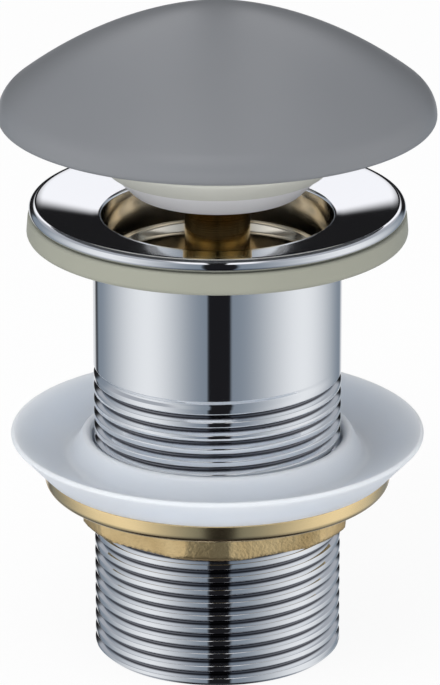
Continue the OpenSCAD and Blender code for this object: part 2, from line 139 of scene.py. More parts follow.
class Bench:
    """Modelling steps that more than one piece needs, each done with Blender's own operators."""

    @staticmethod
    def clear() -> None:
        """Leaves edit mode and deselects everything."""
        if bpy.context.object and bpy.context.object.mode != "OBJECT":
            bpy.ops.object.mode_set(mode="OBJECT")
        bpy.ops.object.select_all(action="DESELECT")

    @staticmethod
    def pick(*pieces: bpy.types.Object) -> None:
        """Selects some pieces alone and makes the first one active.

        Args:
            pieces: The pieces to select.
        """
        Bench.clear()
        for piece in pieces:
            piece.select_set(True)
        bpy.context.view_layer.objects.active = pieces[0]

    @staticmethod
    def trace(name: str, outline: list[Point]) -> bpy.types.Object:
        """Draws an outline as a chain of edges in the XZ plane, by extruding one vertex along it.

        Args:
            name: Name of the new piece.
            outline: Points in millimetres.

        Returns:
            The new piece, left in edit mode with its last vertex selected.
        """
        Bench.clear()
        bpy.ops.mesh.primitive_plane_add(size=MM, location=(0, 0, 0))
        piece = bpy.context.object
        piece.name = piece.data.name = name
        bpy.ops.object.mode_set(mode="EDIT")
        bpy.ops.mesh.select_mode(type="VERT")
        bpy.ops.mesh.select_all(action="SELECT")
        bpy.ops.mesh.merge(type="CENTER")
        bpy.ops.transform.translate(value=(outline[0][0] * MM, 0, outline[0][1] * MM))
        for (r0, z0), (r1, z1) in zip(outline, outline[1:]):
            step = ((r1 - r0) * MM, 0, (z1 - z0) * MM)
            bpy.ops.mesh.extrude_region_move(TRANSFORM_OT_translate={"value": step})
        return piece

    @staticmethod
    def weld() -> None:
        """Merges doubled vertices in edit mode and turns all faces outwards."""
        bpy.ops.mesh.select_all(action="SELECT")
        bpy.ops.mesh.remove_doubles(threshold=WELD)
        bpy.ops.mesh.normals_make_consistent(inside=False)

    @staticmethod
    def revolve(name: str, outline: list[Point], steps: int, closed: bool = True) -> bpy.types.Object:
        """Spins an outline once round the Z axis.

        Args:
            name: Name of the new piece.
            outline: Points in millimetres.
            steps: Number of faces round the axis.
            closed: Whether the last point is joined to the first.

        Returns:
            The new piece, in object mode.
        """
        path = outline + [outline[0]] if closed else outline
        piece = Bench.trace(name, path)
        bpy.ops.mesh.select_all(action="SELECT")
        bpy.ops.mesh.spin(steps=steps, angle=FULL_TURN, center=(0, 0, 0), axis=(0, 0, 1))
        Bench.weld()
        bpy.ops.object.mode_set(mode="OBJECT")
        return piece

    @staticmethod
    def apply(piece: bpy.types.Object, kind: str, **settings: object) -> None:
        """Adds one modifier to a piece and applies it.

        Args:
            piece: The piece.
            kind: Blender's name of the modifier's type.
            settings: Values of the modifier.
        """
        Bench.pick(piece)
        modifier = piece.modifiers.new(kind.lower(), kind)
        for key, value in settings.items():
            setattr(modifier, key, value)
        bpy.ops.object.modifier_apply(modifier=modifier.name)

    @staticmethod
    def combine(piece: bpy.types.Object, other: bpy.types.Object, operation: str) -> None:
        """Adds or cuts another closed piece, which is used up.

        Args:
            piece: The piece that stays.
            other: The piece that is added or cut away.
            operation: UNION or DIFFERENCE.
        """
        Bench.apply(piece, "BOOLEAN", object=other, operation=operation, solver="EXACT")
        bpy.data.objects.remove(other, do_unlink=True)

    @staticmethod
    def join(piece: bpy.types.Object, *others: bpy.types.Object) -> None:
        """Joins other pieces into the first one's mesh.

        Args:
            piece: The piece that stays.
            others: The pieces that become part of it.
        """
        Bench.pick(piece, *others)
        bpy.ops.object.join()

    @staticmethod
    def block(name: str, low: Vector, high: Vector) -> bpy.types.Object:
        """Makes a box between two corners, with its place in its mesh.

        Args:
            name: Name of the new piece.
            low: Lowest corner in metres.
            high: Highest corner in metres.

        Returns:
            The new piece.
        """
        Bench.clear()
        bpy.ops.mesh.primitive_cube_add(size=1, location=(low + high) / 2)
        piece = bpy.context.object
        piece.name = piece.data.name = name
        piece.scale = high - low
        bpy.ops.object.transform_apply(location=True, rotation=True, scale=True)
        return piece

    @staticmethod
    def smooth(piece: bpy.types.Object, angle: float) -> None:
        """Shades a piece smooth, apart from edges sharper than an angle.

        Args:
            piece: The piece.
            angle: The angle in degrees.
        """
        Bench.pick(piece)
        bpy.ops.object.shade_smooth_by_angle(angle=math.radians(angle))


class Graph:
    """A material's or group's node tree, with short calls to fill it."""

    def __init__(self, tree: bpy.types.NodeTree) -> None:
        """Keeps the tree that nodes are added to."""
        self.tree = tree

    def add(self, kind: str, inputs: dict | None = None, **settings: object) -> bpy.types.Node:
        """Adds a node.

        Args:
            kind: The node's type, without the ShaderNode that it starts with.
            inputs: Values or output sockets for the node's inputs, by name or number.
            settings: The node's own properties.

        Returns:
            The new node.
        """
        node = self.tree.nodes.new(kind if kind.startswith("NodeGroup") else "ShaderNode" + kind)
        for key, value in settings.items():
            setattr(node, key, value)
        for key, value in (inputs or {}).items():
            if isinstance(value, bpy.types.NodeSocket):
                self.tree.links.new(value, node.inputs[key])
            else:
                node.inputs[key].default_value = value
        return node

    def math(self, operation: str, *values: object, clamp: bool = False) -> bpy.types.NodeSocket:
        """Adds a Math node.

        Args:
            operation: Its operation.
            values: Numbers or sockets, in order.
            clamp: Whether the result is held between 0 and 1.

        Returns:
            Its output.
        """
        node = self.add("Math", dict(enumerate(values)), operation=operation, use_clamp=clamp)
        return node.outputs[0]

    def ramp(self, value: bpy.types.NodeSocket, low: float, high: float) -> bpy.types.NodeSocket:
        """Turns a value into a soft step from 0 to 1 between two limits.

        Args:
            value: The value.
            low: Where the step starts.
            high: Where the step ends. It may be lower than low, for a step down.

        Returns:
            The step.
        """
        span = {"Value": value, "From Min": low, "From Max": high}
        return self.add("MapRange", span, interpolation_type="SMOOTHSTEP").outputs["Result"]

    def mix(self, factor: object, a: object, b: object) -> bpy.types.NodeSocket:
        """Mixes two colours.

        Args:
            factor: Share of the second colour, as a number or a socket.
            a: First colour, as three numbers or a socket.
            b: Second colour.

        Returns:
            The mixed colour.
        """
        node = self.add("Mix", {0: factor}, data_type="RGBA")
        for index, value in ((6, a), (7, b)):
            if isinstance(value, bpy.types.NodeSocket):
                self.tree.links.new(value, node.inputs[index])
            else:
                node.inputs[index].default_value = (*value, 1)
        return node.outputs[2]


class Effects:
    """Shader node groups that several finishes share, each built once."""

    made: dict[str, bpy.types.NodeTree] = {}

    @classmethod
    def start(cls, name: str, inputs: dict[str, float],
              outputs: tuple[str, ...]) -> tuple[Graph, dict, object]:
        """Starts a group of number sockets.

        Args:
            name: Name of the group.
            inputs: Default values of its inputs by name.
            outputs: Names of its outputs.

        Returns:
            The graph, its input sockets by name, and the output node.
        """
        tree = bpy.data.node_groups.new(name, "ShaderNodeTree")
        for key, value in inputs.items():
            socket = tree.interface.new_socket(key, in_out="INPUT", socket_type="NodeSocketFloat")
            socket.default_value = value
        for key in outputs:
            tree.interface.new_socket(key, in_out="OUTPUT", socket_type="NodeSocketFloat")
        cls.made[name] = tree
        graph = Graph(tree)
        source = graph.add("NodeGroupInput")
        return graph, source.outputs, graph.add("NodeGroupOutput")

    @classmethod
    def grain(cls) -> bpy.types.NodeTree:
        """Fine grain over a broad mottle, from Object coordinates in metres.

        Returns:
            The group. Grain is a fine height, and Mottle a broad mask, both from 0 to 1.
        """
        if "grain" in cls.made:
            return cls.made["grain"]
        scales = {"Grain Scale": 3000, "Mottle Scale": 90}
        graph, source, sink = cls.start("grain", scales, ("Grain", "Mottle"))
        place = graph.add("TexCoord").outputs["Object"]
        fine = graph.add("TexNoise", {"Vector": place, "Scale": source["Grain Scale"], "Detail": 3})
        broad = graph.add("TexNoise", {"Vector": place, "Scale": source["Mottle Scale"], "Detail": 2})
        graph.tree.links.new(fine.outputs["Fac"], sink.inputs["Grain"])
        graph.tree.links.new(broad.outputs["Fac"], sink.inputs["Mottle"])
        return graph.tree

    @classmethod
    def turning(cls) -> bpy.types.NodeTree:
        """Tool marks of a lathe: fine rings about the Z axis, uneven in depth.

        Returns:
            The group. Rings is a height from 0 to 1.
        """
        if "turning" in cls.made:
            return cls.made["turning"]
        graph, source, sink = cls.start("turning", {"Ring Scale": 2600}, ("Rings",))
        place = graph.add("TexCoord").outputs["Object"]
        axes = graph.add("SeparateXYZ", {0: place}).outputs
        flat = graph.add("CombineXYZ", {0: axes["X"], 1: axes["Y"]}).outputs[0]
        radius = graph.add("VectorMath", {0: flat}, operation="LENGTH").outputs["Value"]
        along = graph.math("ADD", radius, axes["Z"])
        scaled = graph.math("MULTIPLY", along, source["Ring Scale"])
        rings = graph.add("TexNoise", {"W": scaled, "Scale": 1.0, "Detail": 2}, noise_dimensions="1D")
        graph.tree.links.new(rings.outputs["Fac"], sink.inputs["Rings"])
        return graph.tree

    @classmethod
    def place(cls, graph: Graph, tree: bpy.types.NodeTree, **inputs: float) -> dict:
        """Puts a group in a material.

        Args:
            graph: The material's graph.
            tree: The group.
            inputs: Its values, with underscores for spaces.

        Returns:
            Its output sockets by name.
        """
        node = graph.add("Group", node_tree=tree)
        for key, value in inputs.items():
            node.inputs[key.replace("_", " ")].default_value = value
        return node.outputs


@dataclass(frozen=True)
class Finish:
    """A finish: one material for one slot of the record."""

    slot: Slot
    colour: Colour
    roughness: float
    variant: str = ""

    def shader(self, graph: Graph) -> bpy.types.Node:
        """Adds the Principled BSDF with the plain values of this finish.

        Args:
            graph: The material's graph.

        Returns:
            The shader node, joined to the output.
        """
        node = graph.add("BsdfPrincipled", {"Base Color": (*self.colour, 1), "Roughness": self.roughness})
        sink = graph.add("OutputMaterial")
        graph.tree.links.new(node.outputs[0], sink.inputs["Surface"])
        return node

    def bump(self, graph: Graph, node: bpy.types.Node, height: bpy.types.NodeSocket, depth: float) -> None:
        """Adds relief to a shader.

        Args:
            graph: The material's graph.
            node: The shader node.
            height: The relief, from 0 to 1.
            depth: Its depth in metres.
        """
        relief = graph.add("Bump", {"Height": height, "Distance": depth, "Strength": 1.0})
        graph.tree.links.new(relief.outputs[0], node.inputs["Normal"])

    def dress(self, graph: Graph) -> None:
        """Fills the material's graph.

        Args:
            graph: The material's graph.
        """
        self.shader(graph)

    def material(self) -> bpy.types.Material:
        """Makes the material, or finds it where it is already made.

        Returns:
            The material.
        """
        name = "finish_" + self.slot.value + self.variant
        if name in bpy.data.materials:
            return bpy.data.materials[name]
        made = bpy.data.materials.new(name)
        made.use_nodes = True
        made.node_tree.nodes.clear()
        self.dress(Graph(made.node_tree))
        return made


@dataclass(frozen=True)
class ChromeFinish(Finish):
    """Polished chrome with faint smudges, with painted shade that darkens the bottom of the thread's
    grooves.
    """

    # The groove shade colour and the darkening share paint shade into the thread's grooves.
    groove_shade_colour: Colour = (0.10, 0.10, 0.12)
    root_radius: float = 20.0 * MM
    clear_radius: float = 20.4 * MM
    thread_top: float = 51.5 * MM
    fade: float = 0.5 * MM
    darkening: float = 0.9
    haze: float = 0.03

    def dress(self, graph: Graph) -> None:
        """Fills the material's graph.

        Args:
            graph: The material's graph.
        """
        node = self.shader(graph)
        node.inputs["Metallic"].default_value = 1.0
        axes = graph.add("SeparateXYZ", {0: graph.add("TexCoord").outputs["Object"]}).outputs
        flat = graph.add("CombineXYZ", {0: axes["X"], 1: axes["Y"]}).outputs[0]
        radius = graph.add("VectorMath", {0: flat}, operation="LENGTH").outputs["Value"]
        # Painted shade: deep in the thread's grooves, below the thread's top, the base colour is darkened
        # towards the groove shade colour, standing for the shadow and dark reflections in the grooves.
        groove_shade_mask = graph.ramp(radius, self.clear_radius, self.root_radius)
        threaded = graph.ramp(axes["Z"], self.thread_top, self.thread_top - self.fade)
        marks = Effects.place(graph, Effects.grain(), Grain_Scale=900, Mottle_Scale=70)
        darkened = graph.math("MULTIPLY", graph.math("MULTIPLY", groove_shade_mask, threaded), self.darkening)
        graph.tree.links.new(graph.mix(darkened, self.colour, self.groove_shade_colour), node.inputs["Base Color"])
        haze = graph.math("MULTIPLY_ADD", marks["Mottle"], self.haze, self.roughness - self.haze / 2)
        graph.tree.links.new(haze, node.inputs["Roughness"])


@dataclass(frozen=True)
class BoreFinish(Finish):
    """Thin warm nickel over brass inside the throat and tail, clouded in patches."""

    cloud: float = 0.86
    haze: float = 0.08

    def dress(self, graph: Graph) -> None:
        """Fills the material's graph.

        Args:
            graph: The material's graph.
        """
        node = self.shader(graph)
        node.inputs["Metallic"].default_value = 1.0
        marks = Effects.place(graph, Effects.grain(), Grain_Scale=700, Mottle_Scale=110)
        darkened = tuple(self.cloud * c for c in self.colour)
        graph.tree.links.new(graph.mix(marks["Mottle"], self.colour, darkened), node.inputs["Base Color"])
        rough = graph.math("MULTIPLY_ADD", marks["Grain"], self.haze, self.roughness - self.haze / 2)
        graph.tree.links.new(rough, node.inputs["Roughness"])


@dataclass(frozen=True)
class RubberFinish(Finish):
    """Smooth moulded rubber with a faint cloudiness."""

    specular: float = 0.35
    cloud: float = 0.93
    tooth: float = 0.006 * MM

    def dress(self, graph: Graph) -> None:
        """Fills the material's graph.

        Args:
            graph: The material's graph.
        """
        node = self.shader(graph)
        node.inputs["Specular IOR Level"].default_value = self.specular
        marks = Effects.place(graph, Effects.grain(), Grain_Scale=2500, Mottle_Scale=120)
        darker = tuple(self.cloud * c for c in self.colour)
        graph.tree.links.new(graph.mix(marks["Mottle"], self.colour, darker), node.inputs["Base Color"])
        self.bump(graph, node, marks["Grain"], self.tooth)


@dataclass(frozen=True)
class MilkyFinish(Finish):
    """Unpigmented plastic that light enters and leaves again."""

    depth: float = 3.5 * MM
    warmth: Colour = (1.0, 0.97, 0.93)
    tooth: float = 0.008 * MM

    def dress(self, graph: Graph) -> None:
        """Fills the material's graph.

        Args:
            graph: The material's graph.
        """
        node = self.shader(graph)
        node.inputs["Subsurface Weight"].default_value = 1.0
        node.inputs["Subsurface Radius"].default_value = (1.0, 1.0, 1.0)
        node.inputs["Subsurface Scale"].default_value = self.depth
        marks = Effects.place(graph, Effects.grain(), Grain_Scale=1800, Mottle_Scale=60)
        warmer = tuple(c * k for c, k in zip(self.colour, self.warmth))
        graph.tree.links.new(graph.mix(marks["Mottle"], self.colour, warmer), node.inputs["Base Color"])
        self.bump(graph, node, marks["Grain"], self.tooth)


@dataclass(frozen=True)
class BrassFinish(Finish):
    """Bare brass with turning marks, tarnished in patches, and sandy where it is left as cast."""

    cast_top: float = 29.6 * MM
    fade: float = 0.5 * MM
    tarnish: Colour = (0.50, 0.42, 0.30)
    turned_stain: float = 0.25
    cast_stain: float = 0.75
    cast_rough: float = 0.22
    sand: float = 0.8
    ring_depth: float = 0.06
    ring_loss: float = 0.055
    relief: float = 0.12 * MM

    def dress(self, graph: Graph) -> None:
        """Fills the material's graph.

        Args:
            graph: The material's graph.
        """
        node = self.shader(graph)
        node.inputs["Metallic"].default_value = 1.0
        height = graph.add("SeparateXYZ", {0: graph.add("TexCoord").outputs["Object"]}).outputs["Z"]
        cast = graph.ramp(height, self.cast_top, self.cast_top - self.fade)
        marks = Effects.place(graph, Effects.grain(), Grain_Scale=2200, Mottle_Scale=160)
        rings = Effects.place(graph, Effects.turning(), Ring_Scale=2600)["Rings"]
        tarnished = tuple(c * k for c, k in zip(self.colour, self.tarnish))
        share = graph.math("MULTIPLY_ADD", cast, self.cast_stain, self.turned_stain)
        darkening = graph.math("MULTIPLY", marks["Mottle"], share)
        graph.tree.links.new(graph.mix(darkening, self.colour, tarnished), node.inputs["Base Color"])
        rough = graph.math("MULTIPLY_ADD", cast, self.cast_rough, self.roughness)
        graph.tree.links.new(rough, node.inputs["Roughness"])
        sand = graph.math("MULTIPLY", marks["Grain"], graph.math("MULTIPLY", cast, self.sand))
        ringed = graph.math("MULTIPLY_ADD", cast, -self.ring_loss, self.ring_depth)
        turned = graph.math("MULTIPLY", rings, ringed)
        self.bump(graph, node, graph.math("ADD", sand, turned), self.relief)


@dataclass(frozen=True)
class CapFinish(Finish):
    """Even matt grey coat with a fine tooth."""

    specular: float = 0.5
    cloud: float = 1.08
    tooth: float = 0.004 * MM

    def dress(self, graph: Graph) -> None:
        """Fills the material's graph.

        Args:
            graph: The material's graph.
        """
        node = self.shader(graph)
        node.inputs["Specular IOR Level"].default_value = self.specular
        marks = Effects.place(graph, Effects.grain(), Grain_Scale=4000, Mottle_Scale=45)
        paler = tuple(self.cloud * c for c in self.colour)
        graph.tree.links.new(graph.mix(marks["Mottle"], self.colour, paler), node.inputs["Base Color"])
        self.bump(graph, node, marks["Grain"], self.tooth)


@dataclass(frozen=True)
class MouldedFinish(Finish):
    """Satin moulded plastic or pressed fibre."""

    cloud: float = 0.95
    tooth: float = 0.004 * MM

    def dress(self, graph: Graph) -> None:
        """Fills the material's graph.

        Args:
            graph: The material's graph.
        """
        node = self.shader(graph)
        marks = Effects.place(graph, Effects.grain(), Grain_Scale=2200, Mottle_Scale=200)
        shaded = tuple(self.cloud * c for c in self.colour)
        graph.tree.links.new(graph.mix(marks["Mottle"], self.colour, shaded), node.inputs["Base Color"])
        self.bump(graph, node, marks["Grain"], self.tooth)


@dataclass(frozen=True)
class SteelFinish(Finish):
    """Drawn and pressed stainless steel."""

    haze: float = 0.15
    clean: float = 0.07
    ring_depth: float = 0.004 * MM

    def dress(self, graph: Graph) -> None:
        """Fills the material's graph.

        Args:
            graph: The material's graph.
        """
        node = self.shader(graph)
        node.inputs["Metallic"].default_value = 1.0
        marks = Effects.place(graph, Effects.grain(), Grain_Scale=3000, Mottle_Scale=300)
        rings = Effects.place(graph, Effects.turning(), Ring_Scale=4000)["Rings"]
        haze = graph.math("MULTIPLY_ADD", marks["Mottle"], self.haze, self.roughness - self.clean)
        graph.tree.links.new(haze, node.inputs["Roughness"])
        self.bump(graph, node, rings, self.ring_depth)


FINISHES: dict[Slot, Finish] = {
    Slot.CHROME: ChromeFinish(Slot.CHROME, (0.86, 0.87, 0.89), 0.045),
    Slot.RUBBER: RubberFinish(Slot.RUBBER, (0.33, 0.335, 0.275), 0.45),
    Slot.MILKY: MilkyFinish(Slot.MILKY, (0.66, 0.71, 0.78), 0.36),
    Slot.BRASS: BrassFinish(Slot.BRASS, (1.0, 0.77, 0.42), 0.19),
    Slot.CAP: CapFinish(Slot.CAP, (0.19, 0.198, 0.211), 0.34),
    Slot.WHITE: MouldedFinish(Slot.WHITE, (0.95, 0.95, 0.97), 0.4),
    Slot.STEEL: SteelFinish(Slot.STEEL, (0.58, 0.57, 0.55), 0.25),
    Slot.FIBRE: MouldedFinish(Slot.FIBRE, (0.24, 0.05, 0.03), 0.7, tooth=0.03 * MM),
}
# Painted light: a lighter copy of the ivory rubber for the plug seal, standing for the light that the
# chrome dish reflects up onto it.
PAINTED_LIGHT_RUBBER = RubberFinish(Slot.RUBBER, (0.72, 0.725, 0.66), 0.45, "_painted_light")
# Painted shade: a darker copy of the raw brass for the plunger sleeve, standing for the shade and dark
# reflections in the throat under the cap.
PAINTED_SHADE_BRASS = BrassFinish(Slot.BRASS, (0.52, 0.40, 0.20), 0.12, "_painted_shade", cast_top=0.0)
NICKEL_BORE = BoreFinish(Slot.CHROME, (0.95, 0.88, 0.76), 0.12, "_bore")


def hand_over(piece: bpy.types.Object, body: Body, finish: Finish, node: str, sharp: float = 35) -> None:
    """Shades, dresses and attaches a finished piece to its body, and hides the CAD node that it replaces.

    Args:
        piece: The piece.
        body: The body that it rides on.
        finish: Its finish.
        node: The CAD node that it replaces.
        sharp: Angle above which an edge stays sharp, in degrees.
    """
    Bench.smooth(piece, sharp)
    piece.data.materials.clear()
    piece.data.materials.append(finish.material())
    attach(piece, body.value)
    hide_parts(node)
    LOG.info("%s: %d faces on %s", piece.name, len(piece.data.polygons), body.value)


@dataclass
class WasteCasting:
    """Chromed body in one piece: screw-cut tail, shank, dished flange, throat and spider."""

    thread_r: float = 20.955
    pitch: float = 2.309
    thread_low: float = 0.9
    thread_top: float = 52.3
    joint_gap: float = 0.1
    first_groove: float = 48.27
    last_groove: float = 51.0
    run_out_rise: float = 1.5
    run_in_drop: float = 0.2
    run_in_rise: float = 0.9
    half_flank: float = 27.5
    land: float = 0.55
    crest_round: float = 0.24
    root_round: float = 0.26
    tail_chamfer: float = 0.6
    tail_bore_r: float = 17.95
    bore_chamfer: float = 0.4
    chamber_r: float = 18.3
    chamber_low: float = 45.5
    height: float = 79.6
    flange_r: float = 31.6
    rim_r: float = 1.1
    dish_drop: float = 2.1
    mouth_r: float = 19.5
    mouth_round: float = 0.6
    throat_r: float = 18.9
    ledge_drop: float = 10.6
    ledge_h: float = 0.8
    neck_round: float = 0.5
    spider_top: float = 54.6
    boss_r: float = 7.5
    boss_h: float = 7.6
    boss_bore_r: float = 4.1
    boss_chamfer: float = 0.3
    arm_t: float = 3.0
    arm_h: float = 5.0
    arm_round: float = 0.4
    arm_sink: float = 0.3
    arm_count: int = 4
    mouth_margin: float = 0.05
    wall_margin: float = 0.75
    chord: float = 1.2
    steps: int = 144

    def thread_outline(self, start: float) -> list[Point]:
        """One pitch of a 55 degree thread with polished, rounded crests, from root to root.

        Args:
            start: Height of the first root.

        Returns:
            The outline.
        """
        normal = 90 - self.half_flank
        turn = math.cos(math.radians(normal))
        rounds = self.crest_round + self.root_round
        rise = self.pitch / 2 - self.land / 2 - rounds * math.sin(math.radians(normal))
        crest = self.thread_r - self.crest_round
        root = crest + rounds * turn - rise * self.flank_run()
        middle = start + self.pitch / 2
        return (
            arc((root, start), self.root_round, 180, 180 - normal, 4)
            + arc((crest, middle - self.land / 2), self.crest_round, -normal, 0, 5)
            + arc((crest, middle + self.land / 2), self.crest_round, 0, normal, 5)
            + arc((root, start + self.pitch), self.root_round, 180 + normal, 180, 4)
        )

    def flank_run(self) -> float:
        """Distance outwards along a flank for each unit of its height."""
        return 1 / math.tan(math.radians(self.half_flank))

    def thread_wall(self) -> bpy.types.Object:
        """Cuts the helical thread as an open wall that runs out to a plain cylinder at its top.

        Returns:
            The wall.
        """
        low, high = self.thread_low, self.thread_top
        # The first groove's height is read at the front, three quarters of a turn from where a turn starts.
        start = (self.first_groove - 0.75 * self.pitch) % self.pitch - 2 * self.pitch
        turns = math.ceil((high - start) / self.pitch) + 1
        wall = Bench.trace("tail_thread", self.thread_outline(start))
        bpy.ops.object.mode_set(mode="OBJECT")
        Bench.apply(wall, "SCREW", angle=FULL_TURN, screw_offset=self.pitch * MM, iterations=turns,
                    steps=self.steps, render_steps=self.steps, use_merge_vertices=True,
                    merge_threshold=WELD)
        self.run_out(wall, start)
        Bench.pick(wall)
        bpy.ops.object.mode_set(mode="EDIT")
        for level, below in ((low, True), (high, False)):
            bpy.ops.mesh.select_all(action="SELECT")
            bpy.ops.mesh.bisect(plane_co=(0, 0, level * MM), plane_no=(0, 0, 1), clear_inner=below,
                                clear_outer=not below, threshold=WELD)
        bpy.ops.mesh.select_all(action="SELECT")
        bpy.ops.mesh.remove_doubles(threshold=WELD)
        bpy.ops.object.mode_set(mode="OBJECT")
        return wall

    def run_out(self, wall: bpy.types.Object, start: float) -> None:
        """Draws the cutter out over the last two thirds of a turn, and lets it in at the tail's end.

        Args:
            wall: The threaded wall.
            start: Height of the first root where the outline was drawn.
        """
        for vertex in wall.data.vertices:
            x, y, z = (c / MM for c in vertex.co)
            r = math.hypot(x, y)
            lead = start + self.pitch * math.atan2(y, x) / FULL_TURN
            groove = lead + self.pitch * round((z - lead) / self.pitch)
            depth = min(max((self.last_groove - groove) / self.run_out_rise, 0), 1)
            depth *= min(max((groove + self.run_in_drop) / self.run_in_rise, 0), 1)
            scale = (self.thread_r - depth * (self.thread_r - r)) / r
            vertex.co.x *= scale
            vertex.co.y *= scale

    def outline(self) -> list[Point]:
        """Everything but the thread, from the shank over the flange and down the bore to the tail's end.

        Returns:
            The outline, open at the thread.
        """
        rim = (self.flange_r - self.rim_r, self.height - self.rim_r)
        mouth = (self.mouth_r + self.mouth_round, self.height - self.dish_drop - self.mouth_round)
        dish = lie(rim, self.rim_r, mouth, self.mouth_round) - 90
        under = self.height - 2 * self.rim_r
        ledge = self.height - self.ledge_drop
        neck = (self.thread_r + self.neck_round, under - self.neck_round)
        return divided(
            [(self.thread_r, self.thread_top + self.joint_gap)]
            + arc(neck, self.neck_round, 180, 90, 4)
            + arc(rim, self.rim_r, -90, dish, 28)
            + arc(mouth, self.mouth_round, dish, 180, 10)
            + [(self.throat_r, ledge), (self.chamber_r, ledge - self.ledge_h)]
            + [(self.chamber_r, self.chamber_low), (self.tail_bore_r, self.chamber_low)]
            + [(self.tail_bore_r, self.bore_chamfer), (self.tail_bore_r + self.bore_chamfer, 0)]
            + [(self.thread_r - self.tail_chamfer, 0), (self.thread_r, self.tail_chamfer)]
            + [(self.thread_r, self.thread_low - self.joint_gap)],
            self.chord,
        )

    def bridge(self, piece: bpy.types.Object, level: float) -> None:
        """Joins the two open rims that face each other across a small gap.

        Args:
            piece: The joined piece.
            level: Height between the rims.
        """
        Bench.pick(piece)
        bpy.ops.object.mode_set(mode="EDIT")
        bpy.ops.mesh.select_mode(type="EDGE")
        bpy.ops.mesh.select_all(action="DESELECT")
        bpy.ops.object.mode_set(mode="OBJECT")
        reach = 1.2 * self.joint_gap * MM
        points = [v.co for v in piece.data.vertices]
        uses = [0] * len(piece.data.edges)
        for loop in piece.data.loops:
            uses[loop.edge_index] += 1
        for edge in piece.data.edges:
            ends = [points[i] for i in edge.vertices]
            edge.select = uses[edge.index] == 1 and all(abs(p.z - level * MM) < reach for p in ends)
        bpy.ops.object.mode_set(mode="EDIT")
        bpy.ops.mesh.bridge_edge_loops()
        bpy.ops.object.mode_set(mode="OBJECT")

    def dull_bore(self, piece: bpy.types.Object) -> None:
        """Gives the faces of the throat, the bore and the spider their own finish.

        Args:
            piece: The finished casting.
        """
        piece.data.materials.append(NICKEL_BORE.material())
        for face in piece.data.polygons:
            inside = math.hypot(face.center.x, face.center.y) < (self.mouth_r - self.mouth_margin) * MM
            below = face.center.z < (self.height - self.dish_drop - self.mouth_round) * MM
            wall = math.hypot(face.center.x, face.center.y) > (self.throat_r + self.wall_margin) * MM
            face.material_index = 1 if inside and below and not wall else 0

    def spider(self) -> bpy.types.Object:
        """Makes the boss with its arms as one closed piece.

        Returns:
            The spider.
        """
        low, top, edge = self.spider_top - self.boss_h, self.spider_top, self.boss_chamfer
        hub = Bench.revolve("spider", [
            (self.boss_bore_r, low), (self.boss_r - edge, low), (self.boss_r, low + edge),
            (self.boss_r, top - edge), (self.boss_r - edge, top), (self.boss_bore_r, top),
        ], 64)
        arm_low = (low + top - self.arm_h) / 2
        inner = (self.boss_bore_r + self.boss_r) / 2
        outer = self.chamber_r + self.arm_sink
        for index in range(self.arm_count):
            arm = Bench.block("spider_arm", Vector((inner, -self.arm_t / 2, arm_low)) * MM,
                              Vector((outer, self.arm_t / 2, arm_low + self.arm_h)) * MM)
            Bench.apply(arm, "BEVEL", width=self.arm_round * MM, segments=3, limit_method="ANGLE")
            Bench.pick(arm)
            arm.rotation_euler.z = FULL_TURN * index / self.arm_count
            bpy.ops.object.transform_apply(location=True, rotation=True, scale=True)
            Bench.combine(hub, arm, "UNION")
        return hub

    def build(self) -> None:
        """Makes the piece and hands it over."""
        thread = self.thread_wall()
        casting = Bench.revolve("chromed_waste_body", self.outline(), self.steps, closed=False)
        Bench.join(casting, thread)
        self.bridge(casting, self.thread_top + self.joint_gap / 2)
        self.bridge(casting, self.thread_low - self.joint_gap / 2)
        Bench.pick(casting)
        bpy.ops.object.mode_set(mode="EDIT")
        Bench.weld()
        bpy.ops.object.mode_set(mode="OBJECT")
        Bench.join(casting, self.spider())
        hand_over(casting, Body.WASTE, FINISHES[Slot.CHROME], "waste_body", sharp=40)
        self.dull_bore(casting)


@dataclass
class FlangeSeal:
    """Ivory rubber ring under the flange."""

    outer_r: float = 32.0
    bore_r: float = 21.205
    top: float = 77.4
    thickness: float = 3.7
    neck_round: float = 0.5
    low_round: float = 0.9
    top_round: float = 0.45
    draft: float = 0.2
    chord: float = 1.5

    def build(self) -> None:
        """Makes the piece and hands it over."""
        low = self.top - self.thickness
        low_edge = (self.outer_r - self.low_round, low + self.low_round)
        top_edge = (self.outer_r - self.draft - self.top_round, self.top - self.top_round)
        outline = (
            [(self.bore_r + self.neck_round, self.top), (self.bore_r, self.top - self.neck_round)]
            + [(self.bore_r, low)]
            + arc(low_edge, self.low_round, -90, 0, 10)
            + arc(top_edge, self.top_round, 0, 90, 6)
        )
        seal = Bench.revolve("ivory_flange_seal", divided(outline, self.chord), 144)
        hand_over(seal, Body.WASTE, FINISHES[Slot.RUBBER], "flange_seal")


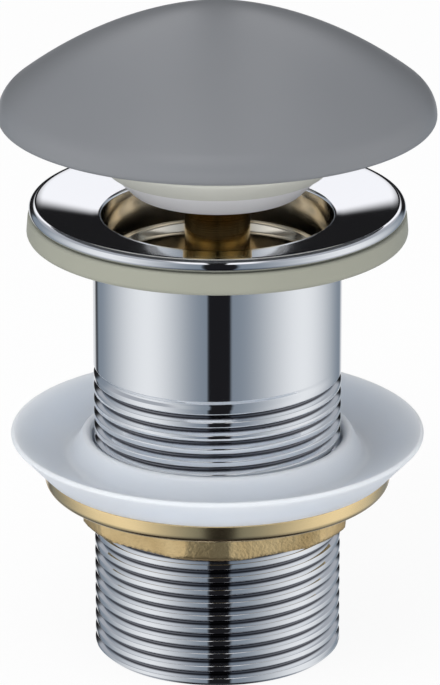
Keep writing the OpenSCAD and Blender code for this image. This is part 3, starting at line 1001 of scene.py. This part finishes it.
@dataclass
class ConeWasher:
    """Milky plastic washer: a shallow dish with a raised collar."""

    bore_r: float = 21.305
    low: float = 32.7
    height: float = 6.1
    outer_r: float = 35.05
    foot_r: float = 30.3
    floor_t: float = 1.8
    collar_r: float = 23.2
    valley_r: float = 25.9
    rim_round: float = 0.45
    valley_round: float = 1.6
    collar_dip: float = 0.35
    foot_chamfer: float = 0.4
    chord: float = 1.2

    def build(self) -> None:
        """Makes the piece and hands it over."""
        top = self.low + self.height
        crest_r = (self.collar_r - self.bore_r) / 2
        rim = (self.outer_r - self.rim_round, top - self.rim_round)
        foot = (self.foot_r, self.low + self.foot_chamfer)
        valley = (self.valley_r, self.low + self.floor_t + self.valley_round)
        collar = (self.bore_r + crest_r, top - self.collar_dip - crest_r)
        wall_out = lie(foot, 0, rim, self.rim_round)
        wall_in = lie(rim, self.rim_round, valley, -self.valley_round)
        side = lie(valley, -self.valley_round, collar, crest_r)
        outline = (
            [(self.bore_r, self.low), (self.foot_r - self.foot_chamfer, self.low), foot]
            + arc(rim, self.rim_round, wall_out - 90, wall_in - 90, 12)
            + arc(valley, self.valley_round, wall_in + 90, side + 90, 12)
            + arc(collar, crest_r, side - 90, 180, 14)
        )
        washer = Bench.revolve("milky_cone_washer", divided(outline, self.chord), 160)
        hand_over(washer, Body.WASHER, FINISHES[Slot.MILKY], "cone_washer")


@dataclass
class BackNut:
    """Brass nut: a turned flange over a lug that is left as cast."""

    bore_r: float = 21.055
    low: float = 23.7
    lug_h: float = 5.5
    lug_flats: float = 44.4
    lug_corner_r: float = 23.8
    lug_skew: float = -4.0
    lug_chamfer: float = 0.8
    flange_r: float = 29.4
    flange_t: float = 3.5
    low_round: float = 1.5
    top_round: float = 0.8
    corner_round: float = 0.7
    voxel: float = 0.36
    sand_size: float = 0.7
    sand_depth: float = 0.14
    clean_rim: float = 0.5
    reach: float = 0.1
    chord: float = 1.2

    def lug(self) -> bpy.types.Object:
        """Makes the six-sided lug with trimmed corners and a sandy skin.

        Returns:
            The lug, closed.
        """
        top = self.low + self.lug_h + self.flange_t / 2
        half = math.pi / 6
        Bench.clear()
        bpy.ops.mesh.primitive_cylinder_add(
            vertices=6, radius=self.lug_flats / 2 / math.cos(half) * MM, depth=(top - self.low) * MM,
            location=(0, 0, (top + self.low) / 2 * MM))
        lug = bpy.context.object
        lug.name = lug.data.name = "nut_lug"
        lug.rotation_euler.z = math.radians(self.lug_skew)
        bpy.ops.object.transform_apply(location=True, rotation=True, scale=True)
        chamfer = self.lug_corner_r - self.lug_chamfer
        below, above = self.low - self.reach, top + self.reach
        trim = Bench.revolve("corner_trim", [
            (0, below), (chamfer - self.reach, below), (self.lug_corner_r, self.low + self.lug_chamfer),
            (self.lug_corner_r, above), (0, above),
        ], 96, closed=False)
        Bench.combine(lug, trim, "INTERSECT")
        Bench.apply(lug, "BEVEL", width=self.corner_round * MM, segments=3, limit_method="ANGLE")
        bore = Bench.revolve("nut_bore", [
            (0, self.low - 1), (self.bore_r, self.low - 1), (self.bore_r, top + 1), (0, top + 1),
        ], 144, closed=False)
        Bench.combine(lug, bore, "DIFFERENCE")
        Bench.apply(lug, "REMESH", mode="VOXEL", voxel_size=self.voxel * MM)
        skin = lug.vertex_groups.new(name="skin")
        inside = (self.bore_r + self.clean_rim) * MM
        cast = [v.index for v in lug.data.vertices if math.hypot(v.co.x, v.co.y) > inside]
        skin.add(cast, 1.0, "REPLACE")
        sand = bpy.data.textures.new("casting_sand", "CLOUDS")
        sand.noise_scale = self.sand_size * MM
        sand.noise_depth = 3
        Bench.apply(lug, "DISPLACE", texture=sand, texture_coords="LOCAL", mid_level=0.5,
                    strength=self.sand_depth * MM, vertex_group="skin")
        return lug

    def build(self) -> None:
        """Makes the piece and hands it over."""
        flange_low = self.low + self.lug_h
        top = flange_low + self.flange_t
        low_edge = (self.flange_r - self.low_round, flange_low + self.low_round)
        top_edge = (self.flange_r - self.top_round, top - self.top_round)
        outline = (
            [(self.bore_r, flange_low)]
            + arc(low_edge, self.low_round, -90, 0, 12)
            + arc(top_edge, self.top_round, 0, 90, 8)
            + [(self.bore_r, top)]
        )
        nut = Bench.revolve("brass_back_nut", divided(outline, self.chord), 144)
        Bench.join(nut, self.lug())
        hand_over(nut, Body.NUT, FINISHES[Slot.BRASS], "back_nut", sharp=40)


@dataclass
class PlugTop:
    """Domed cap with its carrier and flared seal."""

    cap_r: float = 36.6
    cap_h: float = 19.2
    cap_low: float = 94.01
    wall: float = 2.2
    crown_r: float = 30.0
    crown_slope: float = 14.0
    flank_r: float = 73.0
    edge_round: float = 0.8
    clamp_z: float = 88.71
    boss_r: float = 9.5
    boss_top: float = 111.0
    insert_r: float = 7.02
    insert_h: float = 10.0
    backing_r: float = 17.5
    rib_t: float = 1.8
    rib_top: float = 107.6
    rib_count: int = 6
    rib_lift: float = 1.0
    rib_sink: float = 1.0
    lip_low_r: float = 18.8
    lip_top_r: float = 21.7
    lip_low_z: float = 85.61
    lip_flare: float = 43.0
    lip_t: float = 1.0
    lip_edge: float = 0.15
    web_low_z: float = 86.51
    web_bore_r: float = 6.0
    carrier_rim_r: float = 18.0
    carrier_rim_drop: float = 0.25
    carrier_gap: float = 0.01
    foot_r: float = 14.9
    foot_z: float = 81.71
    foot_round: float = 0.9
    sleeve_r: float = 5.55
    stud_r: float = 5.1
    shoulder_z: float = 85.11
    chord: float = 1.2

    def dome(self, inset: float, steps: int) -> list[Point]:
        """Three smooth arcs from the crown to the rim.

        Args:
            inset: Distance inside the outer face.
            steps: Chords of the crown's arc, and half those of the others.

        Returns:
            The outline, from the axis outwards.
        """
        top = self.cap_low + self.cap_h
        rim_z = self.cap_low + self.edge_round
        slope = math.radians(self.crown_slope)
        crown = (0.0, top - self.crown_r)
        gap = self.crown_r - self.flank_r
        flank = (gap * math.sin(slope), crown[1] + gap * math.cos(slope))
        drop, reach = flank[1] - rim_z, self.cap_r - flank[0]
        shoulder_r = (self.flank_r**2 - reach**2 - drop**2) / (2 * (self.flank_r - reach))
        shoulder = (self.cap_r - shoulder_r, rim_z)
        end = math.degrees(math.atan2(shoulder[0] - flank[0], shoulder[1] - flank[1]))
        return (
            arc(crown, self.crown_r - inset, 90, 90 - self.crown_slope, steps)
            + arc(flank, self.flank_r - inset, 90 - self.crown_slope, 90 - end, 2 * steps)[1:]
            + arc(shoulder, shoulder_r - inset, 90 - end, 0, 2 * steps)[1:]
        )

    def cap(self) -> None:
        """Makes the cap: a shell with its boss, backing ring and ribs."""
        rim_z = self.cap_low + self.edge_round
        outer = self.dome(0, 12)
        edge = arc((self.cap_r - self.edge_round, rim_z), self.edge_round, 0, -90, 8)
        inner = list(reversed(self.dome(self.wall, 8)))
        shell = outer + edge[1:] + [(self.cap_r - self.wall, self.cap_low)] + inner
        cap = Bench.revolve("grey_dome_cap", shell, 160, closed=False)
        core = Bench.revolve("cap_core", [
            (self.insert_r, self.clamp_z), (self.boss_r, self.clamp_z), (self.boss_r, self.boss_top),
            (self.insert_r, self.boss_top), (0, self.boss_top), (0, self.clamp_z + self.insert_h),
            (self.insert_r, self.clamp_z + self.insert_h),
        ], 72)
        ring = Bench.revolve("cap_ring", [
            (self.backing_r - self.rib_t, self.clamp_z), (self.backing_r, self.clamp_z),
            (self.backing_r, self.rib_top), (self.backing_r - self.rib_t, self.rib_top),
        ], 96)
        Bench.combine(core, ring, "UNION")
        for index in range(self.rib_count):
            rib = Bench.block(
                "cap_rib",
                Vector((self.boss_r - self.rib_sink, -self.rib_t / 2, self.clamp_z + self.rib_lift)) * MM,
                Vector((self.backing_r - self.rib_t / 2, self.rib_t / 2, self.rib_top)) * MM)
            Bench.pick(rib)
            rib.rotation_euler.z = FULL_TURN * index / self.rib_count
            bpy.ops.object.transform_apply(location=True, rotation=True, scale=True)
            Bench.combine(core, rib, "UNION")
        Bench.combine(cap, core, "UNION")
        hand_over(cap, Body.PLUG, FINISHES[Slot.CAP], "dome_cap", sharp=40)

    def seal(self) -> None:
        """Makes the flared rubber seal."""
        flare = math.radians(self.lip_flare)
        across = (math.cos(flare), -math.sin(flare))
        rise = (self.lip_top_r - self.lip_low_r) / math.tan(flare)
        top = (self.lip_top_r, self.lip_low_z + rise)
        end = (top[0] - across[0] * self.lip_t / 2, top[1] - across[1] * self.lip_t / 2)
        inner = (top[0] - across[0] * self.lip_t, top[1] - across[1] * self.lip_t)
        inside_r = self.carrier_rim_r + self.carrier_gap
        outline = (
            [(self.web_bore_r, self.web_low_z), (inside_r, self.web_low_z), (inside_r, self.lip_low_z)]
            + [(self.lip_low_r - self.lip_edge, self.lip_low_z)]
            + [(self.lip_low_r, self.lip_low_z + self.lip_edge)]
            + arc(end, self.lip_t / 2, -self.lip_flare, 180 - self.lip_flare, 10)
            + [(inner[0] - (inner[1] - self.clamp_z) * math.tan(flare), self.clamp_z)]
            + [(self.web_bore_r, self.clamp_z)]
        )
        seal = Bench.revolve("ivory_plug_seal", divided(outline, self.chord), 144)
        # The seal's rubber is painted lighter, standing for the light reflected up onto it from the dish.
        hand_over(seal, Body.PLUG, PAINTED_LIGHT_RUBBER, "plug_seal")

    def carrier(self) -> None:
        """Makes the white carrier under the seal."""
        foot = (self.foot_r - self.foot_round, self.foot_z + self.foot_round)
        rim = (self.carrier_rim_r, self.lip_low_z - self.carrier_rim_drop)
        outline = (
            [(self.sleeve_r, self.foot_z)]
            + arc(foot, self.foot_round, -90, lie(foot, self.foot_round, rim, 0) - 90, 10)
            + [rim, (self.carrier_rim_r, self.web_low_z), (self.stud_r, self.web_low_z)]
            + [(self.stud_r, self.shoulder_z), (self.sleeve_r, self.shoulder_z)]
        )
        carrier = Bench.revolve("white_plug_carrier", divided(outline, self.chord), 144)
        hand_over(carrier, Body.PLUG, FINISHES[Slot.WHITE], "plug_carrier")

    def build(self) -> None:
        """Makes the three pieces."""
        self.cap()
        self.seal()
        self.carrier()


class Latch:
    """The pieces of the push latch, which keep their CAD shapes."""

    spring: str = "plunger_spring"
    stroke: float = 9.0
    finishes: dict[str, Finish] = {
        "cap_insert": FINISHES[Slot.BRASS],
        # The sleeve's brass is painted darker, standing for the shade in the throat under the cap.
        "plunger_sleeve": PAINTED_SHADE_BRASS,
        "follower_pins": FINISHES[Slot.STEEL],
        "track_core": FINISHES[Slot.WHITE],
        "cartridge_base": FINISHES[Slot.BRASS],
        "base_gasket": FINISHES[Slot.FIBRE],
        "keeper_washer": FINISHES[Slot.STEEL],
        "keeper_screw": FINISHES[Slot.STEEL],
        "plunger_spring": FINISHES[Slot.STEEL],
    }

    def build(self) -> None:
        """Gives each node its finish, and gives the spring its own copy of its mesh."""
        for name, finish in self.finishes.items():
            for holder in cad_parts[name].material_slots:
                holder.material = finish.material()
            LOG.info("%s: finished as %s", name, finish.slot.value)
        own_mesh(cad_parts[self.spring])


@dataclass
class Studio:
    """Camera at the photo's angle, pale floor, and a soft studio all round."""

    focal: float = 287.8
    distance: float = 0.925
    tilt: float = 20.05
    aim: Vector = Vector((0.00044, 0, 0.05418))
    floor_size: float = 6.0
    floor_drop: float = 0.05
    floor_glow: float = 0.9
    low_band: Band = (-0.45, -0.80)
    pole_band: Band = (-0.80, -0.90)
    back_band: Band = (0.80, 0.90)
    back_foot: Band = (-0.16, -0.10)
    horizon_band: Band = (0.46, 0.54)
    horizon_slope: float = 0.22
    side_band: Band = (0.24, 0.42)
    gap_band: Band = (0.10, 0.06)
    soft_band: Band = (0.10, 0.90)
    low_tone: Colour = (0.50, 0.52, 0.56)
    dark_tone: Colour = (0.012, 0.012, 0.013)
    pole_tone: Colour = (0.03, 0.03, 0.035)
    panel_tone: Colour = (1.03, 1.03, 1.06)
    side_tone: Colour = (0.40, 0.42, 0.46)
    front_light: Colour = (0.37, 0.37, 0.38)
    side_light: Colour = (1.15, 1.15, 1.16)

    def camera(self) -> None:
        """Places the camera."""
        tilt = math.radians(self.tilt)
        place = self.aim + self.distance * Vector((0, -math.cos(tilt), math.sin(tilt)))
        Bench.clear()
        bpy.ops.object.camera_add(location=place, rotation=(math.pi / 2 - tilt, 0, 0))
        camera = bpy.context.object
        camera.data.sensor_fit = "VERTICAL"
        camera.data.sensor_height = 36.0
        camera.data.lens = self.focal
        bpy.context.scene.camera = camera

    def floor(self) -> None:
        """Lays the floor, which metal doesn't mirror: the studio's walls stand for it there."""
        Bench.clear()
        bpy.ops.mesh.primitive_plane_add(size=self.floor_size, location=(0, 0, -self.floor_drop * MM))
        floor = bpy.context.object
        floor.name = "studio_floor"
        floor.visible_glossy = False
        made = bpy.data.materials.new("floor_paper")
        made.use_nodes = True
        graph = Graph(made.node_tree)
        shader = made.node_tree.nodes["Principled BSDF"]
        shader.inputs["Base Color"].default_value = (1.0, 1.0, 1.0, 1)
        shader.inputs["Roughness"].default_value = 0.9
        shader.inputs["Specular IOR Level"].default_value = 0.0
        glow = graph.add("Emission", {"Color": (1, 1, 1, 1), "Strength": 1.0})
        seen = graph.add("LightPath").outputs["Is Camera Ray"]
        share = graph.math("MULTIPLY", seen, self.floor_glow)
        mixed = graph.add("MixShader", {0: share, 1: shader.outputs[0], 2: glow.outputs[0]})
        sink = made.node_tree.nodes["Material Output"]
        made.node_tree.links.new(mixed.outputs[0], sink.inputs["Surface"])
        floor.data.materials.append(made)

    def world(self) -> None:
        """Builds the studio that metal mirrors: two soft panels, a dark gap between, and a dark back."""
        world = bpy.data.worlds.new("studio")
        bpy.context.scene.world = world
        world.use_nodes = True
        world.node_tree.nodes.clear()
        graph = Graph(world.node_tree)
        heading = graph.add("SeparateXYZ", {0: graph.add("TexCoord").outputs["Generated"]}).outputs
        back = graph.math("MULTIPLY", heading["Y"], -1.0)
        turn = graph.math("ARCTAN2", heading["X"], back)
        azimuth = graph.math("MULTIPLY_ADD", turn, 1 / FULL_TURN, 0.5)
        panels = graph.add("ValToRGB", {0: azimuth})
        self.fill_panels(panels.color_ramp)
        low = graph.ramp(heading["Z"], *self.low_band)
        dimmed = graph.mix(low, (1.0, 1.0, 1.0), self.low_tone)
        lit = graph.add("Mix", {0: 1.0, 6: panels.outputs[0], 7: dimmed}, data_type="RGBA",
                        blend_type="MULTIPLY").outputs[2]
        pole = graph.ramp(heading["Z"], *self.pole_band)
        lit = graph.mix(pole, lit, self.pole_tone)
        behind = graph.ramp(heading["Y"], *self.back_band)
        over = graph.ramp(heading["Z"], *self.back_foot)
        dark = graph.math("MULTIPLY", behind, over)
        walls = graph.mix(dark, lit, self.dark_tone)
        horizon = graph.math("MULTIPLY_ADD", heading["Y"], self.horizon_slope, heading["Z"])
        aside = graph.math("ABSOLUTE", heading["X"], 0.0)
        panel = graph.mix(graph.ramp(aside, *self.side_band), self.panel_tone, self.side_tone)
        panel = graph.mix(graph.ramp(aside, *self.gap_band), panel, self.dark_tone)
        studio = graph.mix(graph.ramp(horizon, *self.horizon_band), walls, panel)
        rays = graph.add("LightPath").outputs
        soft = graph.mix(graph.ramp(aside, *self.soft_band), self.front_light, self.side_light)
        mirrored = graph.mix(rays["Is Glossy Ray"], soft, studio)
        seen = graph.mix(rays["Is Camera Ray"], mirrored, (1.0, 1.0, 1.0))
        shade = graph.add("Background", {"Color": seen, "Strength": 1.0})
        sink = graph.add("OutputWorld")
        world.node_tree.links.new(shade.outputs[0], sink.inputs["Surface"])

    def fill_panels(self, ramp: bpy.types.ColorRamp) -> None:
        """Sets how bright the studio is all round.

        Args:
            ramp: The colour ramp to fill, from behind, past the left and the camera, to behind.
        """
        bright, dim, edge = (0.86, 0.88, 0.90), (0.22, 0.26, 0.31), (0.04, 0.045, 0.05)
        gap, wall = (0.012, 0.012, 0.014), (0.75, 0.76, 0.78)
        stops = [
            (-180, wall), (-162, wall), (-151, edge), (-143, dim), (-68, bright), (-9.5, dim), (-8, gap),
            (11, gap), (14, dim), (86, bright), (156, dim), (168, wall),
        ]
        ramp.interpolation = "EASE"
        ramp.elements[0].position = 0.0
        ramp.elements[1].position = 1.0
        for angle, _ in stops[1:]:
            ramp.elements.new((angle + 180) / 360)
        ramp.elements.remove(ramp.elements[len(ramp.elements) - 1])
        for element, (angle, colour) in zip(ramp.elements, stops):
            element.position = (angle + 180) / 360
            element.color = (*colour, 1)

    def lamps(self) -> None:
        """Hangs a wide soft lamp above, and stands another low in front that lights undersides."""
        for place, width, height, power in (
            ((-0.25, -0.45, 0.9), 0.6, 0.6, 3.0),
            ((-0.08, -0.62, 0.12), 0.6, 0.2, 1.0),
        ):
            Bench.clear()
            bpy.ops.object.light_add(type="AREA", location=place)
            lamp = bpy.context.object
            lamp.data.shape = "RECTANGLE"
            lamp.data.size = width
            lamp.data.size_y = height
            lamp.data.energy = power
            lamp.rotation_euler = (Vector((0, 0, 0.06)) - lamp.location).to_track_quat("-Z", "Y").to_euler()
            lamp.visible_glossy = False
            lamp.visible_camera = False

    def build(self) -> None:
        """Sets up the whole studio."""
        scene = bpy.context.scene
        scene.view_settings.view_transform = "Standard"
        self.camera()
        self.floor()
        self.world()
        self.lamps()


def main() -> None:
    """Builds the studio, then each sub-assembly."""
    logging.basicConfig(level=logging.INFO)
    Studio().build()
    for assembly in (WasteCasting(), FlangeSeal(), ConeWasher(), BackNut(), PlugTop(), Latch()):
        assembly.build()


if __name__ == "__main__":
    main()
